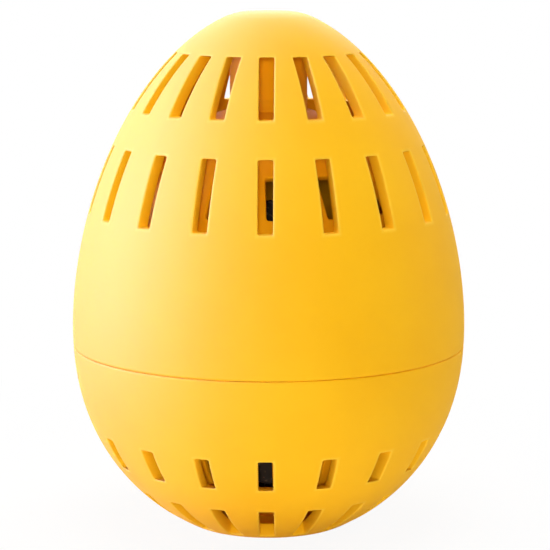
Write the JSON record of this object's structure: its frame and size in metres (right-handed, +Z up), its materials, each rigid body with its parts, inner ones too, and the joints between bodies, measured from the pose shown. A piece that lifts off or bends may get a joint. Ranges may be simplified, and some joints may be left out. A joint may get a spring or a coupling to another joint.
{
  "type": "laundry egg",
  "caption": "Egg-shaped washing pod: a slotted soft casing in two halves over a stiff inner cage that holds loose cleaning pellets. The upper half twists and pulls off for refilling.",
  "frame": {"origin": "middle of the flat base, on the surface that the egg stands on", "axes": "+Z up along the egg's axis towards the crown; one slot of every row faces -Y"},
  "size_m": [0.08, 0.08, 0.1046],
  "materials": {
    "casing": "matt, soft moulded elastomer, yellow",
    "cage": "satin moulded plastic, yellow",
    "tourmaline": "matt fired pellet, near black",
    "mineral": "matt pressed pellet, cream"
  },
  "bodies": {
    "lower_half": {"lower_casing": "casing", "lower_cage": "cage"},
    "pellet_charge": {"tourmaline_pellet_01": "tourmaline", "tourmaline_pellet_02": "tourmaline", "tourmaline_pellet_03": "tourmaline", "tourmaline_pellet_04": "tourmaline", "tourmaline_pellet_05": "tourmaline", "tourmaline_pellet_06": "tourmaline", "tourmaline_pellet_07": "tourmaline", "tourmaline_pellet_08": "tourmaline", "tourmaline_pellet_09": "tourmaline", "tourmaline_pellet_10": "tourmaline", "tourmaline_pellet_11": "tourmaline", "tourmaline_pellet_12": "tourmaline", "tourmaline_pellet_13": "tourmaline", "tourmaline_pellet_14": "tourmaline", "tourmaline_pellet_15": "tourmaline", "tourmaline_pellet_16": "tourmaline", "tourmaline_pellet_17": "tourmaline", "tourmaline_pellet_18": "tourmaline", "tourmaline_pellet_19": "tourmaline", "tourmaline_pellet_20": "tourmaline", "tourmaline_pellet_21": "tourmaline", "tourmaline_pellet_22": "tourmaline", "tourmaline_pellet_23": "tourmaline", "tourmaline_pellet_24": "tourmaline", "tourmaline_pellet_25": "tourmaline", "tourmaline_pellet_26": "tourmaline", "mineral_pellet_01": "mineral", "mineral_pellet_02": "mineral", "mineral_pellet_03": "mineral", "mineral_pellet_04": "mineral", "mineral_pellet_05": "mineral", "mineral_pellet_06": "mineral", "mineral_pellet_07": "mineral", "mineral_pellet_08": "mineral", "mineral_pellet_09": "mineral", "mineral_pellet_10": "mineral", "mineral_pellet_11": "mineral", "mineral_pellet_12": "mineral", "mineral_pellet_13": "mineral", "mineral_pellet_14": "mineral", "mineral_pellet_15": "mineral", "mineral_pellet_16": "mineral", "mineral_pellet_17": "mineral", "mineral_pellet_18": "mineral", "mineral_pellet_19": "mineral", "mineral_pellet_20": "mineral", "mineral_pellet_21": "mineral", "mineral_pellet_22": "mineral", "mineral_pellet_23": "mineral", "mineral_pellet_24": "mineral"},
    "upper_half": {"upper_casing": "casing", "upper_cage": "cage"}
  },
  "joints": [
    {"name": "twist", "type": "hinge", "parent": "lower_half", "child": "pellet_charge", "pos_m": [0, 0, 0.037], "axis": [0, 0, 1], "continuous": true},
    {"name": "lift_off", "type": "slide", "parent": "pellet_charge", "child": "upper_half", "axis": [0, 0, 1], "range_m": [0, 0.08]}
  ]
}
